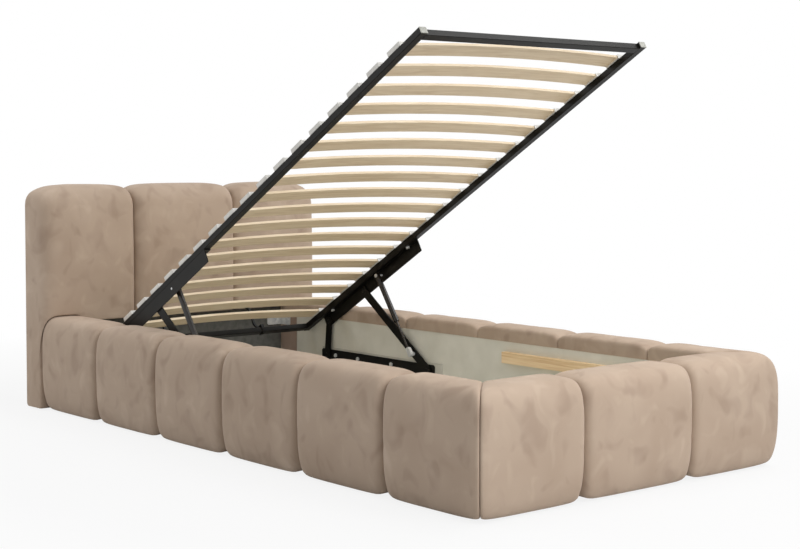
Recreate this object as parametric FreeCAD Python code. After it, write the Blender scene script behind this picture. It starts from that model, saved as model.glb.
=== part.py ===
import FreeCAD, Part
import math
import os

# Upholstered storage bed with a slatted lid on a sprung four-bar lift, lid shown open.
# Millimetres, +X across the bed, +Y towards the headboard, +Z up.
# The origin lies on the floor under the middle of the bed.

V = FreeCAD.Vector

# Overall sizes
BED_WIDTH = 1186.0
BED_LENGTH = 2400.0
HEADBOARD_HEIGHT = 802.0
HEADBOARD_DEPTH = 108.0
GLIDE_HEIGHT = 15.0

# Fits shared by all pieces
SEAT_GAP = 0.3
RUNNING_GAP = 0.05
CUT_OVERRUN = 5.0

# Upholstered rails: section
RAIL_DEPTH = 138.0
RAIL_TOP = 345.0
RAIL_LIFT = 1.0
BOARD_THICKNESS = 18.0
BOARD_TOP = 285.0
BAND_PROUD = 2.0
INNER_ROUND = 34.0
SHOULDER_ROUND = 68.0
LOWER_BEVEL = 26.0

# Upholstered rails: sewn channels
SIDE_CHANNELS = 6
FOOT_MIDDLE_CHANNEL = 430.0
CREASE_DEPTH = 27.0
CREASE_DROP = 15.0
CREASE_LIFT = 5.0
CREASE_ROUND = 52.0
MITRE_ROUND = 40.0
MITRE_OVERRUN = 12.0
ROUND_SHARES = (0.0, 0.18, 1.0)
MITRE_FULL_SHARE = 0.66
HALF_SHARE = 0.5

# Headboard
HEAD_MIDDLE_CHANNEL = 440.0
HEAD_CROWN = 24.0
HEAD_CREASE_DROP = 24.0
HEAD_CREASE_ROUND = 80.0
HEAD_FRONT_ROUND = 62.0
HEAD_BACK_BEVEL = 14.0
HEAD_LOWER_BEVEL = 14.0
HEAD_SIDE_FULL_SHARE = -0.4
HEAD_SIDE_WRAP = 12.0
HEAD_PANEL_TOP = 748.0
HEAD_PANEL_THICKNESS = 16.0
HEAD_CREASE_FOAM = 10.0
HEAD_STILE = 45.0
HEAD_LEG_ROUND = 9.0
LINING_THICKNESS = 2.0
LINING_TOP = 312.0
LINING_MARGIN = 8.0
MID_BAR_LEVEL = 330.0
MID_BAR_HEIGHT = 60.0

# Cover flap at the head end of each side rail
FLAP_LENGTH = 100.0
FLAP_THICKNESS = 1.5

# Storage box floor
FLOOR_THICKNESS = 3.0
FLOOR_JOINT = 1.0
BEARER_HEIGHT = 18.0
BEARER_WIDTH = 60.0
BEARER_SHARES = (0.03, 0.5, 0.97)
GLIDE_WIDTH = 28.0
GLIDE_LENGTH = 60.0
GLIDE_INSET = 92.0
GLIDE_BEVEL = 2.0

# Corner fittings
CORNER_LEG = 66.0
CORNER_PLATE = 3.0
CORNER_HEAD_HEIGHT = 44.0
CORNER_HEAD_LEVEL = 238.0
CORNER_FOOT_HEIGHT = 60.0
CORNER_FOOT_LEVEL = 92.0
CORNER_BEVEL = 6.0
SCREW_HEAD_RADIUS = 5.0
SCREW_HEAD_HEIGHT = 2.4
SCREW_SHARES = (0.4, 0.8)

# Rest battens for the closed lid
BATTEN_HEIGHT = 37.0
BATTEN_DEPTH = 20.0
BATTEN_LENGTH = 866.0
REST_GAP = 0.5

# Lid frame
LID_LENGTH = 1990.0
LID_SIDE_GAP = 5.0
TUBE_WIDTH = 25.0
TUBE_HEIGHT = 20.0
TUBE_WALL = 1.5
TUBE_BEVEL = 1.5
HEAD_TUBE_INSET = 2.0
FOOT_TUBE_INSET = 8.0
CAP_PLATE = 2.0
CAP_PLUG = 12.0

# Lid pose when open, measured at its lower corner by the headboard
LID_TILT = 30.4
LID_HEAD_GAP = 187.5
LID_HEAD_RISE = 228.5

# Slats and holders; the first and last slats' middles are set in from the lid's ends
SLAT_COUNT = 18
SLAT_FIRST = 103.0
SLAT_LAST = 119.0
SLAT_WIDTH = 53.0
SLAT_THICKNESS = 8.0
SLAT_BOW = 15.0
SLAT_END_INSET = 5.0
HOLDER_LENGTH = 59.0
HOLDER_REACH = 28.0
HOLDER_FLOOR = 1.5
HOLDER_ROOF = 2.0
HOLDER_BEVEL = 2.5

# Mattress stop hoop at the head end of the lid
STOP_BAR = 8.0
STOP_HALF_SPAN = 195.0
STOP_HEIGHT = 95.0
STOP_BEND = 22.0
STOP_FOOT = 34.0
CLIP_OFFSET = 19.0
CLIP_WIDTH = 12.0
CLIP_THICKNESS = 2.0

# Lift mechanism: plates and arms
PLATE = 3.0
PACKER_THICKNESS = 5.0
PACKER_HEIGHT = 54.0
PACKER_EXTRA = 36.0
LOWER_BRACKET_LENGTH = 658.0
LOWER_BRACKET_HEIGHT = 40.0
LOWER_BRACKET_LEVEL = 148.0
LOWER_BRACKET_HEAD_GAP = 274.0
LOWER_BRACKET_BEVEL = 6.0
PIVOT_INSET_HEAD = 40.0
PIVOT_INSET_FOOT = 32.0
LOWER_BOLT_SHARES = (0.134, 0.34, 0.638)
ARM_WIDTH = 32.0
ARM_THICKNESS = 4.0
ARM_GAP = 1.5
PIN_RADIUS = 5.0
PIN_HEAD_RADIUS = 9.0
PIN_HEAD_HEIGHT = 3.0
BOLT_HEAD_RADIUS = 7.5
BOLT_HEAD_HEIGHT = 5.5

# Lift mechanism: upper bracket, measured along the lid from its head end
UPPER_BRACKET_START = 115.0
UPPER_BRACKET_LENGTH = 639.0
UPPER_BRACKET_DROP = 45.0
UPPER_BRACKET_BEVEL = 2.0
LONG_PIVOT_DROP = 22.0
SHORT_PIVOT_DROP = 30.0
SHORT_ARM_PIVOT = 26.7
LONG_ARM_PIVOT = 276.0
STRUT_PIVOT = 397.0
STRUT_PIVOT_DROP = 20.0
UPPER_BOLT_SHARES = (0.12, 0.92)

# Gas springs
STRUT_FOOT_REACH = 90.0
STRUT_INSET = 29.8
EYE_RADIUS = 9.0
EYE_WIDTH = 12.0
STUD_RADIUS = 4.0
STUD_COLLAR_RADIUS = 7.0
STUD_HEAD_RADIUS = 6.5
STUD_HEAD_HEIGHT = 2.5
OPEN_PIVOT_GAP = 1.5
CYLINDER_RADIUS = 10.0
CYLINDER_START = 14.0
CYLINDER_LENGTH = 180.0
CYLINDER_CAP = 5.0
TONGUE_BEVEL = 4.0
ROD_RADIUS = 4.0
ROD_OVERLAP = 40.0
ROD_END_LENGTH = 26.0

# Places worked out from the sizes above
HALF_WIDTH = BED_WIDTH / 2
INNER_X = HALF_WIDTH - RAIL_DEPTH
FOOT_Y = -BED_LENGTH / 2
FOOT_INNER_Y = FOOT_Y + RAIL_DEPTH
BACK_Y = BED_LENGTH / 2
RAIL_HEAD_Y = BACK_Y - HEADBOARD_DEPTH
PANEL_FRONT_Y = RAIL_HEAD_Y + HEAD_CREASE_FOAM
LINING_FRONT_Y = PANEL_FRONT_Y - LINING_THICKNESS
PANEL_HALF_WIDTH = HALF_WIDTH - HEAD_SIDE_WRAP
UPHOLSTERY_BOTTOM = GLIDE_HEIGHT + RAIL_LIFT
FLOOR_BOTTOM = GLIDE_HEIGHT + BEARER_HEIGHT
PACKER_X = INNER_X - PACKER_THICKNESS
BRACKET_X = PACKER_X - PLATE
ARM_OUT_X = BRACKET_X - ARM_GAP
ARM_IN_X = ARM_OUT_X - ARM_THICKNESS
LID_HALF_WIDTH = INNER_X - LID_SIDE_GAP
TUBE_INNER_X = LID_HALF_WIDTH - TUBE_WIDTH
FLANGE_X = LID_HALF_WIDTH - PLATE
STRUT_X = INNER_X - STRUT_INSET
EYE_OUT_X = STRUT_X + EYE_WIDTH / 2
EYE_IN_X = STRUT_X - EYE_WIDTH / 2
SLAT_PITCH = (LID_LENGTH - SLAT_FIRST - SLAT_LAST) / (SLAT_COUNT - 1)
X_AXIS = V(1, 0, 0)
FULL_TURN = 2 * math.pi
HEX_SIDES = 6
DIAGONAL_SHARE = math.sqrt(HALF_SHARE)

# Lid pose and pivots in the (y, z) plane
TILT = math.radians(LID_TILT)
LID_ORIGIN = V(0, RAIL_HEAD_Y - LID_HEAD_GAP, LID_HEAD_RISE)


def lid_point(along, up):
    """Point of the open lid's side view, from its distance along the lid and over its underside."""
    y = LID_ORIGIN.y - along * math.cos(TILT) + up * math.sin(TILT)
    z = LID_ORIGIN.z + along * math.sin(TILT) + up * math.cos(TILT)
    return V(0, y, z)


LOWER_HEAD_Y = RAIL_HEAD_Y - LOWER_BRACKET_HEAD_GAP
LOWER_FOOT_Y = LOWER_HEAD_Y - LOWER_BRACKET_LENGTH
SHORT_ARM_BASE = V(0, LOWER_HEAD_Y - PIVOT_INSET_HEAD, LOWER_BRACKET_LEVEL)
LONG_ARM_BASE = V(0, LOWER_FOOT_Y + PIVOT_INSET_FOOT, LOWER_BRACKET_LEVEL)
SHORT_ARM_TOP = lid_point(UPPER_BRACKET_START + SHORT_ARM_PIVOT, -SHORT_PIVOT_DROP)
LONG_ARM_TOP = lid_point(UPPER_BRACKET_START + LONG_ARM_PIVOT, -LONG_PIVOT_DROP)
STRUT_TOP = lid_point(UPPER_BRACKET_START + STRUT_PIVOT, -STRUT_PIVOT_DROP)
LONG_ARM_LENGTH = (LONG_ARM_TOP - LONG_ARM_BASE).Length
SHORT_ARM_LENGTH = (SHORT_ARM_TOP - SHORT_ARM_BASE).Length
LONG_ARM_DIRECTION = (LONG_ARM_TOP - LONG_ARM_BASE) / LONG_ARM_LENGTH
STRUT_FOOT = LONG_ARM_BASE + LONG_ARM_DIRECTION * STRUT_FOOT_REACH
STRUT_LENGTH = (STRUT_FOOT - STRUT_TOP).Length
STRUT_DIRECTION = (STRUT_FOOT - STRUT_TOP) / STRUT_LENGTH


def closed_lid_origin():
    """Lower head corner of the level, closed lid: the two arms' circles crossed."""
    pivot_span = LONG_ARM_PIVOT - SHORT_ARM_PIVOT
    shifted_base = LONG_ARM_BASE + V(0, pivot_span, LONG_PIVOT_DROP - SHORT_PIVOT_DROP)
    between = shifted_base - SHORT_ARM_BASE
    reach = between.Length
    step = (reach ** 2 + SHORT_ARM_LENGTH ** 2 - LONG_ARM_LENGTH ** 2) / (2 * reach)
    rise = math.sqrt(SHORT_ARM_LENGTH ** 2 - step ** 2)
    across = V(0, -between.z, between.y) / reach
    if across.z < 0:
        across = -across
    pivot = SHORT_ARM_BASE + between * (step / reach) + across * rise
    return pivot + V(0, UPPER_BRACKET_START + SHORT_ARM_PIVOT, SHORT_PIVOT_DROP)


CLOSED_ORIGIN = closed_lid_origin()
BATTEN_TOP = CLOSED_ORIGIN.z - REST_GAP


# Shared shape helpers

def box(x0, x1, y0, y1, z0, z1):
    return Part.makeBox(x1 - x0, y1 - y0, z1 - z0, V(x0, y0, z0))


def rod_x(x0, x1, centre, radius):
    return Part.makeCylinder(radius, x1 - x0, V(x0, centre.y, centre.z), X_AXIS)


def line(start, end):
    return Part.LineSegment(start, end).toShape()


def arc(start, middle, end):
    return Part.Arc(start, middle, end).toShape()


def solid_from(wire, direction):
    return Part.Face(wire).extrude(direction)


def mirrored(shape):
    return shape.mirror(V(0, 0, 0), X_AXIS)


def both_sides(shape):
    return [shape, mirrored(shape)]


def on_lid(shape):
    """Turn a piece drawn level, with the lid's head corner at zero, into the open lid's pose."""
    placed = shape.copy()
    placed.rotate(V(0, 0, 0), X_AXIS, -LID_TILT)
    placed.translate(LID_ORIGIN)
    return placed


def save(name, *shapes):
    whole = shapes[0] if len(shapes) == 1 else Part.makeCompound(list(shapes))
    whole.exportStep("parts/" + name + ".step")


def save_pair(name, right):
    save(name + "_right", right)
    save(name + "_left", mirrored(right))


# Upholstered rails

def rail_section(full, spot):
    """Closed outline of a padded rail; full is 1 on the crown and 0 in a crease.

    spot turns a distance out of the board's inner face and a height into a point.
    """
    out = RAIL_DEPTH - CREASE_DEPTH * (1 - full)
    top = RAIL_TOP - CREASE_DROP * (1 - full)
    low = UPHOLSTERY_BOTTOM + CREASE_LIFT * (1 - full)
    inner = -BAND_PROUD
    back = BOARD_THICKNESS + SEAT_GAP
    seat = BOARD_TOP + SEAT_GAP
    band_centre = (inner + INNER_ROUND, top - INNER_ROUND)
    shoulder_centre = (out - SHOULDER_ROUND, top - SHOULDER_ROUND)
    band_reach = INNER_ROUND * DIAGONAL_SHARE
    shoulder_reach = SHOULDER_ROUND * DIAGONAL_SHARE
    seat_in = spot(inner, seat)
    band_top = spot(inner, band_centre[1])
    band_middle = spot(band_centre[0] - band_reach, band_centre[1] + band_reach)
    crest_in = spot(band_centre[0], top)
    crest_out = spot(shoulder_centre[0], top)
    shoulder_middle = spot(shoulder_centre[0] + shoulder_reach, shoulder_centre[1] + shoulder_reach)
    face_top = spot(out, shoulder_centre[1])
    face_low = spot(out, low + LOWER_BEVEL)
    under = spot(out - LOWER_BEVEL, low)
    back_low = spot(back, low)
    back_seat = spot(back, seat)
    return Part.Wire([
        line(seat_in, band_top),
        arc(band_top, band_middle, crest_in),
        line(crest_in, crest_out),
        arc(crest_out, shoulder_middle, face_top),
        line(face_top, face_low),
        line(face_low, under),
        line(under, back_low),
        line(back_low, back_seat),
        line(back_seat, seat_in),
    ])


def round_off(share):
    """Fullness at a share of the way from a crease to where its rounding ends."""
    return math.sqrt(1 - (1 - share) ** 2)


def crease_stations(crease, inward, length):
    """Places and fullness from a crease into the channel beside it."""
    return [(crease + inward * length * share, round_off(share)) for share in ROUND_SHARES]


def channel_stations(start, end, length):
    """Places and fullness over one whole channel, crease to crease."""
    return crease_stations(start, 1, length) + crease_stations(end, -1, length)[::-1]


def loft(wires):
    return Part.makeLoft(wires, True, True)


def joined(blocks):
    return blocks[0].fuse(blocks[1:])


def side_spot(y):
    return lambda out, z: V(INNER_X + out, y, z)


def foot_spot(x):
    return lambda out, z: V(x, FOOT_INNER_Y - out, z)


def corner_stations(end, inward):
    """Places and fullness of the channel beside a mitred corner, from past its end to its crown."""
    rise = 1 - MITRE_FULL_SHARE
    stations = [(end - inward * MITRE_OVERRUN, MITRE_FULL_SHARE)]
    for share in ROUND_SHARES:
        full = MITRE_FULL_SHARE + rise * round_off(share)
        stations.append((end + inward * MITRE_ROUND * share, full))
    return stations


def mitred_block(spot, end, crease, corner_room):
    """Channel from a mitred corner seam at end to its crease, cut along the seam."""
    inward = 1 if crease > end else -1
    stations = corner_stations(end, inward) + crease_stations(crease, -inward, CREASE_ROUND)[::-1]
    return loft([rail_section(full, spot(place)) for place, full in stations]).cut(corner_room)


def corner_room(x_square, y_square):
    """Three-cornered prism along the mitre seam, with its square corner on one of the two rails."""
    reach = MITRE_OVERRUN + MITRE_OVERRUN
    outer = V(HALF_WIDTH + reach, FOOT_Y - reach, 0)
    inner = V(INNER_X - reach, FOOT_INNER_Y + reach, 0)
    square = V(x_square, y_square, 0)
    shift = (square - (outer + inner) / 2).normalize() * (SEAT_GAP / 2)
    corners = [outer - shift, inner - shift, square, outer - shift]
    return solid_from(Part.makePolygon(corners), V(0, 0, RAIL_TOP + CUT_OVERRUN))


def side_upholstery():
    pitch = (RAIL_HEAD_Y - FOOT_Y) / SIDE_CHANNELS
    reach = MITRE_OVERRUN + MITRE_OVERRUN
    room = corner_room(INNER_X - reach, FOOT_Y - reach)
    blocks = [mitred_block(side_spot, FOOT_Y, FOOT_Y + pitch, room)]
    for number in range(1, SIDE_CHANNELS):
        start = FOOT_Y + number * pitch
        stations = channel_stations(start, start + pitch, CREASE_ROUND)
        blocks.append(loft([rail_section(full, side_spot(y)) for y, full in stations]))
    return joined(blocks)


def foot_upholstery():
    crease = FOOT_MIDDLE_CHANNEL / 2
    reach = MITRE_OVERRUN + MITRE_OVERRUN
    room = corner_room(HALF_WIDTH + reach, FOOT_INNER_Y + reach)
    right = mitred_block(foot_spot, HALF_WIDTH, crease, room)
    stations = channel_stations(-crease, crease, CREASE_ROUND)
    middle = loft([rail_section(full, foot_spot(x)) for x, full in stations])
    return joined([middle] + both_sides(right))


def side_board():
    return box(INNER_X, INNER_X + BOARD_THICKNESS, FOOT_INNER_Y, RAIL_HEAD_Y, GLIDE_HEIGHT, BOARD_TOP)


def foot_board():
    half = INNER_X + BOARD_THICKNESS
    return box(-half, half, FOOT_INNER_Y - BOARD_THICKNESS, FOOT_INNER_Y, GLIDE_HEIGHT, BOARD_TOP)


def rail_end_flap():
    start = RAIL_HEAD_Y - FLAP_LENGTH
    return box(INNER_X - FLAP_THICKNESS, INNER_X, start, RAIL_HEAD_Y, FLOOR_BOTTOM, BOARD_TOP)


# Headboard

def head_section(full, x):
    """Closed outline of the headboard's padding, seen from the side."""
    front = RAIL_HEAD_Y - HEAD_CROWN * full
    top = HEADBOARD_HEIGHT - HEAD_CREASE_DROP * (1 - full)
    low = LINING_TOP + SEAT_GAP
    front_reach = HEAD_FRONT_ROUND * (1 - DIAGONAL_SHARE)
    back_low = V(x, BACK_Y, low)
    back_top = V(x, BACK_Y, top - HEAD_BACK_BEVEL)
    top_back = V(x, BACK_Y - HEAD_BACK_BEVEL, top)
    top_front = V(x, front + HEAD_FRONT_ROUND, top)
    front_middle = V(x, front + front_reach, top - front_reach)
    front_top = V(x, front, top - HEAD_FRONT_ROUND)
    front_low = V(x, front, low + HEAD_LOWER_BEVEL)
    low_front = V(x, front + HEAD_LOWER_BEVEL, low)
    return Part.Wire([
        line(back_low, back_top),
        line(back_top, top_back),
        line(top_back, top_front),
        arc(top_front, front_middle, front_top),
        line(front_top, front_low),
        line(front_low, low_front),
        line(low_front, back_low),
    ])


def head_outer_channel():
    crease = HEAD_MIDDLE_CHANNEL / 2
    stations = crease_stations(crease, 1, HEAD_CREASE_ROUND)
    rise = 1 - HEAD_SIDE_FULL_SHARE
    for place, full in crease_stations(HALF_WIDTH, -1, HEAD_CREASE_ROUND)[::-1]:
        stations.append((place, HEAD_SIDE_FULL_SHARE + rise * full))
    return loft([head_section(full, x) for x, full in stations])


def head_leg():
    """Thin padding of the headboard behind a rail's end, down to the floor."""
    level = LINING_TOP + HEAD_LOWER_BEVEL + SEAT_GAP
    leg = box(INNER_X + SEAT_GAP, HALF_WIDTH, RAIL_HEAD_Y + SEAT_GAP, BACK_Y, UPHOLSTERY_BOTTOM, level)
    front = [edge for edge in leg.Edges if edge.BoundBox.XMin > HALF_WIDTH - SEAT_GAP]
    upright = [edge for edge in front if edge.BoundBox.ZLength > edge.BoundBox.YLength]
    return leg.makeFillet(HEAD_LEG_ROUND, upright)


def head_core_room():
    """Space inside the padding for the panel, the frame and the back lining."""
    half = PANEL_HALF_WIDTH + SEAT_GAP
    front = PANEL_FRONT_Y - SEAT_GAP
    return box(-half, half, front, BACK_Y + CUT_OVERRUN, 0, HEAD_PANEL_TOP + SEAT_GAP)


def headboard_upholstery():
    crease = HEAD_MIDDLE_CHANNEL / 2
    stations = channel_stations(-crease, crease, HEAD_CREASE_ROUND)
    middle = loft([head_section(full, x) for x, full in stations])
    outer = head_outer_channel().fuse(head_leg())
    crown_front = RAIL_HEAD_Y - HEAD_CROWN - CUT_OVERRUN
    seat_x = INNER_X - BAND_PROUD - SEAT_GAP
    far_x = HALF_WIDTH + CUT_OVERRUN
    rail_room = box(seat_x, far_x, crown_front, RAIL_HEAD_Y + SEAT_GAP, 0, RAIL_TOP + SEAT_GAP)
    outer = outer.cut(rail_room)
    return joined([middle] + both_sides(outer)).cut(head_core_room())


def headboard_panel():
    back = PANEL_FRONT_Y + HEAD_PANEL_THICKNESS
    return box(-PANEL_HALF_WIDTH, PANEL_HALF_WIDTH, PANEL_FRONT_Y, back, GLIDE_HEIGHT, HEAD_PANEL_TOP)


def headboard_frame():
    """Timbers behind the panel: two stiles and three bars between them."""
    front = PANEL_FRONT_Y + HEAD_PANEL_THICKNESS
    back = BACK_Y - LINING_THICKNESS
    side = PANEL_HALF_WIDTH - HEAD_STILE
    stile = box(side, PANEL_HALF_WIDTH, front, back, GLIDE_HEIGHT, HEAD_PANEL_TOP)
    levels = [(GLIDE_HEIGHT, GLIDE_HEIGHT + HEAD_STILE),
              (MID_BAR_LEVEL, MID_BAR_LEVEL + MID_BAR_HEIGHT),
              (HEAD_PANEL_TOP - HEAD_STILE, HEAD_PANEL_TOP)]
    return both_sides(stile) + [box(-side, side, front, back, low, high) for low, high in levels]


def headboard_front_lining():
    return box(-INNER_X, INNER_X, LINING_FRONT_Y, PANEL_FRONT_Y, UPHOLSTERY_BOTTOM, LINING_TOP)


def headboard_back_lining():
    half = PANEL_HALF_WIDTH - LINING_MARGIN
    low = GLIDE_HEIGHT + LINING_MARGIN
    return box(-half, half, BACK_Y - LINING_THICKNESS, BACK_Y, low, HEAD_PANEL_TOP - LINING_MARGIN)


# Storage box

def floor_bearers():
    span = RAIL_HEAD_Y - FOOT_INNER_Y - BEARER_WIDTH
    bearers = []
    for share in BEARER_SHARES:
        y = FOOT_INNER_Y + span * share
        bearers.append(box(-INNER_X, INNER_X, y, y + BEARER_WIDTH, GLIDE_HEIGHT, FLOOR_BOTTOM))
    return bearers


def floor_panels():
    half = INNER_X - FLAP_THICKNESS - SEAT_GAP
    top = FLOOR_BOTTOM + FLOOR_THICKNESS
    middle = FOOT_INNER_Y + (RAIL_HEAD_Y - FOOT_INNER_Y) / 2
    foot = box(-half, half, FOOT_INNER_Y + SEAT_GAP, middle - FLOOR_JOINT / 2, FLOOR_BOTTOM, top)
    head = box(-half, half, middle + FLOOR_JOINT / 2, LINING_FRONT_Y - SEAT_GAP, FLOOR_BOTTOM, top)
    return foot, head


def glide(x, y):
    """Low plastic block under a board, with a bevelled sole."""
    half_width = GLIDE_WIDTH / 2
    half_length = GLIDE_LENGTH / 2
    foot = box(x - half_width, x + half_width, y - half_length, y + half_length, 0, GLIDE_HEIGHT)
    sole = [edge for edge in foot.Edges if edge.BoundBox.ZMax < GLIDE_BEVEL]
    return foot.makeChamfer(GLIDE_BEVEL, sole)


def glide_feet():
    board_x = INNER_X + BOARD_THICKNESS / 2
    frame_y = PANEL_FRONT_Y + HEAD_PANEL_THICKNESS + GLIDE_LENGTH / 2
    middle_y = (FOOT_INNER_Y + RAIL_HEAD_Y) / 2
    spots = [(board_x, FOOT_INNER_Y + GLIDE_INSET), (board_x, middle_y), (board_x, frame_y)]
    return [glide(side * x, y) for x, y in spots for side in (1, -1)]


def rest_batten():
    start = FOOT_INNER_Y + SEAT_GAP
    x = INNER_X - BATTEN_DEPTH
    return box(x, INNER_X, start, start + BATTEN_LENGTH, BATTEN_TOP - BATTEN_HEIGHT, BATTEN_TOP)


# Corner fittings: an angle plate with hexagon screw heads along both legs

def corner_plate(x_seat, y_seat, towards, level, height):
    """Angle plate: one leg against x_seat, the other against y_seat; towards is the leg's way along Y."""
    along = box(x_seat - CORNER_PLATE, x_seat, 0, CORNER_LEG, level, level + height)
    across = box(x_seat - CORNER_LEG, x_seat, 0, CORNER_PLATE, level, level + height)
    plate = along.fuse(across).removeSplitter()
    free = [edge for edge in plate.Edges if is_free_corner(edge, x_seat)]
    plate = plate.makeChamfer(CORNER_BEVEL, free)
    if towards < 0:
        plate = plate.mirror(V(0, 0, 0), V(0, 1, 0))
    plate.translate(V(0, y_seat, 0))
    return plate


def is_free_corner(edge, x_seat):
    """True for the short edges at the far ends of an angle plate's two legs."""
    bounds = edge.BoundBox
    at_leg_end = bounds.YMin > CORNER_LEG - SEAT_GAP or bounds.XMax < x_seat - CORNER_LEG + SEAT_GAP
    return at_leg_end and bounds.ZLength < SEAT_GAP and bounds.DiagonalLength < CORNER_PLATE + SEAT_GAP


def hex_head_towards(seat, outward, radius, height):
    """Hexagon head standing on a plate at seat."""
    head = hex_head(radius, height)
    head.Placement = FreeCAD.Placement(seat, FreeCAD.Rotation(V(0, 0, 1), outward))
    return head


def corner_screws(x_seat, y_seat, towards, level, height):
    z = level + height / 2
    screws = []
    for share in SCREW_SHARES:
        on_rail = V(x_seat - CORNER_PLATE, y_seat + towards * CORNER_LEG * share, z)
        on_end = V(x_seat - CORNER_LEG * share, y_seat + towards * CORNER_PLATE, z)
        for seat, outward in ((on_rail, -X_AXIS), (on_end, V(0, towards, 0))):
            screws.append(hex_head_towards(seat, outward, SCREW_HEAD_RADIUS, SCREW_HEAD_HEIGHT))
    return screws


HEAD_CORNER = (INNER_X - FLAP_THICKNESS, LINING_FRONT_Y, -1, CORNER_HEAD_LEVEL, CORNER_HEAD_HEIGHT)
FOOT_CORNER = (INNER_X, FOOT_INNER_Y, 1, CORNER_FOOT_LEVEL, CORNER_FOOT_HEIGHT)


# Lift mechanism: fixed pieces

def lower_bolt_spots():
    return [V(0, LOWER_HEAD_Y - LOWER_BRACKET_LENGTH * share, LOWER_BRACKET_LEVEL)
            for share in LOWER_BOLT_SHARES]


def mechanism_packer():
    low = LOWER_BRACKET_LEVEL - PACKER_HEIGHT / 2
    return box(PACKER_X, INNER_X, LOWER_FOOT_Y - PACKER_EXTRA, LOWER_HEAD_Y, low, low + PACKER_HEIGHT)


def pin_hole(centre, start, end):
    return rod_x(start - CUT_OVERRUN, end + CUT_OVERRUN, centre, PIN_RADIUS + RUNNING_GAP)


def lower_bracket():
    low = LOWER_BRACKET_LEVEL - LOWER_BRACKET_HEIGHT / 2
    bar = box(BRACKET_X, PACKER_X, LOWER_FOOT_Y, LOWER_HEAD_Y, low, low + LOWER_BRACKET_HEIGHT)
    corners = [edge for edge in bar.Edges if edge.BoundBox.XLength > PLATE - SEAT_GAP
               and edge.BoundBox.YLength < SEAT_GAP and edge.BoundBox.ZLength < SEAT_GAP]
    bar = bar.makeChamfer(LOWER_BRACKET_BEVEL, corners)
    holes = [pin_hole(spot, BRACKET_X, PACKER_X) for spot in (SHORT_ARM_BASE, LONG_ARM_BASE)]
    return bar.cut(holes)


def hex_head(radius, height):
    """Six-sided bolt head standing along +Z from zero."""
    corners = []
    for step in range(HEX_SIDES):
        angle = FULL_TURN * step / HEX_SIDES
        corners.append(V(radius * math.cos(angle), radius * math.sin(angle), 0))
    return solid_from(Part.makePolygon(corners + corners[:1]), V(0, 0, height))


def lower_bracket_bolts():
    bolts = []
    for spot in lower_bolt_spots():
        seat = V(BRACKET_X, spot.y, spot.z)
        bolts += both_sides(hex_head_towards(seat, -X_AXIS, BOLT_HEAD_RADIUS, BOLT_HEAD_HEIGHT))
    return bolts


def pivot_pin(centre, outer_x):
    """Riveted pin from a plate's outer face through the arm, with a head beyond the arm."""
    head_x = ARM_IN_X - SEAT_GAP
    shank = rod_x(head_x, outer_x, centre, PIN_RADIUS)
    return shank.fuse(rivet_head(centre, head_x))


def rivet_head(centre, seat_x):
    """Low cone head on the inner side of an arm."""
    tip_radius = PIN_HEAD_RADIUS - PIN_HEAD_HEIGHT
    at = V(seat_x, centre.y, centre.z)
    return Part.makeCone(PIN_HEAD_RADIUS, tip_radius, PIN_HEAD_HEIGHT, at, -X_AXIS)


# Lift mechanism: arms

def arm(base, top, bored):
    """Flat bar with round ends from one pivot to the other, with a hole at each bored spot."""
    length = (top - base).Length
    radius = ARM_WIDTH / 2
    low_left = V(ARM_IN_X, 0, radius)
    low_right = V(ARM_IN_X, 0, -radius)
    high_left = V(ARM_IN_X, length, radius)
    high_right = V(ARM_IN_X, length, -radius)
    outline = Part.Wire([
        line(low_right, high_right),
        arc(high_right, V(ARM_IN_X, length + radius, 0), high_left),
        line(high_left, low_left),
        arc(low_left, V(ARM_IN_X, -radius, 0), low_right),
    ])
    bar = solid_from(outline, V(ARM_THICKNESS, 0, 0))
    angle = math.degrees(math.atan2(top.z - base.z, top.y - base.y))
    bar.rotate(V(0, 0, 0), X_AXIS, angle)
    bar.translate(base)
    return bar.cut([pin_hole(spot, ARM_IN_X, ARM_OUT_X) for spot in bored])


def strut_lower_stud():
    """Hexagon spacer on the long arm that the gas spring's lower tongue stands on."""
    seat = V(ARM_IN_X, STRUT_FOOT.y, STRUT_FOOT.z)
    return hex_head_towards(seat, -X_AXIS, STUD_COLLAR_RADIUS, ARM_IN_X - EYE_OUT_X - OPEN_PIVOT_GAP)


def short_arm_rivet():
    """Rivet head at the short arm's top, where the linkage is opened."""
    return rivet_head(SHORT_ARM_TOP, ARM_IN_X)


# Lid, drawn level with its head end at y = 0 and its length along -Y

def hollow_tube(x0, x1, y0, y1, along_x):
    """Rectangular tube with bevelled long edges, open at both ends."""
    outer = box(x0, x1, y0, y1, 0, TUBE_HEIGHT)
    long_edges = [edge for edge in outer.Edges if runs_along(edge, along_x)]
    outer = outer.makeChamfer(TUBE_BEVEL, long_edges)
    x_wall = 0 if along_x else TUBE_WALL
    y_wall = TUBE_WALL if along_x else 0
    room = box(x0 + x_wall, x1 - x_wall, y0 + y_wall, y1 - y_wall, TUBE_WALL, TUBE_HEIGHT - TUBE_WALL)
    return outer.cut(room)


def runs_along(edge, along_x):
    bounds = edge.BoundBox
    return bounds.XLength > bounds.YLength + bounds.ZLength if along_x \
        else bounds.YLength > bounds.XLength + bounds.ZLength


def upper_bolt_spots():
    x = LID_HALF_WIDTH - TUBE_WIDTH / 2
    return [V(x, -UPPER_BRACKET_START - UPPER_BRACKET_LENGTH * share, 0) for share in UPPER_BOLT_SHARES]


def lid_side_tube():
    return hollow_tube(TUBE_INNER_X, LID_HALF_WIDTH, -LID_LENGTH, 0, False)


def lid_cross_tube(head_side):
    return hollow_tube(-TUBE_INNER_X, TUBE_INNER_X, head_side - TUBE_WIDTH, head_side, True)


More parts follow.
